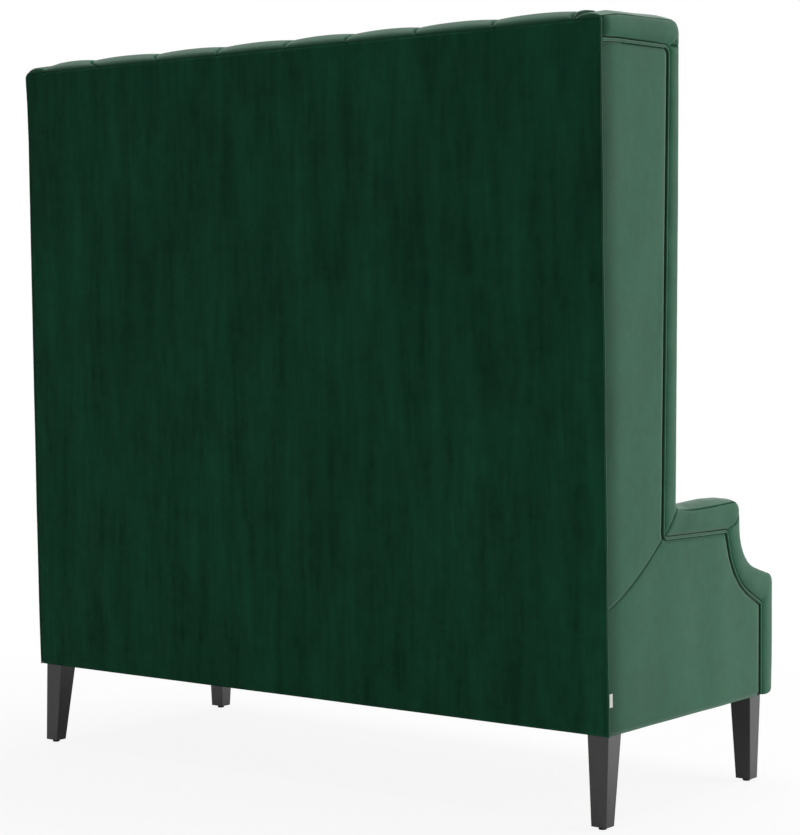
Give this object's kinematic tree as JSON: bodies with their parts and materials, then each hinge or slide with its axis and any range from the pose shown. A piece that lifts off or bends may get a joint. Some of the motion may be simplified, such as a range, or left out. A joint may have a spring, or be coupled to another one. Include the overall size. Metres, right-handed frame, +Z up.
{
  "type": "high back settee",
  "caption": "Tall winged settee: flat outside back, slim scooped arms, buttoned inside back, loose seat cushion and tapered legs.",
  "frame": {"origin": "centre of the footprint of the whole settee, on the floor", "axes": "+X to the left hand of a sitting person, front faces -Y, +Z up"},
  "size_m": [1.6174, 0.694, 1.626],
  "materials": {
    "velvet": "dark green cotton velvet with a short nap",
    "hessian": "plain woven jute",
    "webbing": "elastic upholstery webbing",
    "dust_cloth": "black non-woven cloth",
    "tab": "plain woven tape, blank",
    "black_wood": "black satin lacquer",
    "frame_timber": "sawn beech",
    "plywood": "birch plywood",
    "spring_steel": "zinc plated",
    "glide_plastic": "black nylon"
  },
  "bodies": {
    "settee": {"arm_border_left": "velvet", "arm_border_right": "velvet", "arm_front_post_left": "frame_timber", "arm_front_post_right": "frame_timber", "arm_inner_pad_left": "velvet", "arm_inner_pad_right": "velvet", "arm_rail_left": "frame_timber", "arm_rail_right": "frame_timber", "back_bottom_rail": "frame_timber", "back_buttons": "velvet", "back_hessian": "hessian", "back_mid_rail": "frame_timber", "back_post_left": "frame_timber", "back_post_right": "frame_timber", "back_stud_left": "frame_timber", "back_stud_right": "frame_timber", "back_top_rail": "frame_timber", "back_top_roll": "velvet", "back_tuck_rail": "frame_timber", "back_webbing": "webbing", "corner_blocks": "frame_timber", "dust_cover": "dust_cloth", "front_border": "velvet", "inside_back_pad": "velvet", "leg_bolts": "spring_steel", "leg_front_left": "black_wood", "leg_front_right": "black_wood", "leg_glides": "glide_plastic", "leg_rear_left": "black_wood", "leg_rear_right": "black_wood", "outer_arm_panel_left": "velvet", "outer_arm_panel_right": "velvet", "outer_wing_panel_left": "velvet", "outer_wing_panel_right": "velvet", "outside_back_cover": "velvet", "seam_tab": "tab", "seat_centre_rail": "frame_timber", "seat_front_rail": "frame_timber", "seat_insulator": "hessian", "seat_platform": "velvet", "seat_rear_rail": "frame_timber", "seat_side_rail_left": "frame_timber", "seat_side_rail_right": "frame_timber", "seat_springs": "spring_steel", "side_ply_left": "plywood", "side_ply_right": "plywood", "side_welt_left": "velvet", "side_welt_right": "velvet", "spring_clips": "spring_steel", "wing_border_left": "velvet", "wing_border_right": "velvet", "wing_inner_pad_left": "velvet", "wing_inner_pad_right": "velvet", "wing_post_left": "frame_timber", "wing_post_right": "frame_timber", "wing_top_rail_left": "frame_timber", "wing_top_rail_right": "frame_timber"},
    "cushion": {"seat_cushion": "velvet", "seat_cushion_welts": "velvet"}
  },
  "joints": [
    {"name": "cushion_lift", "type": "slide", "parent": "settee", "child": "cushion", "axis": [0, 0, 1], "range_m": [0, 0.3]}
  ]
}
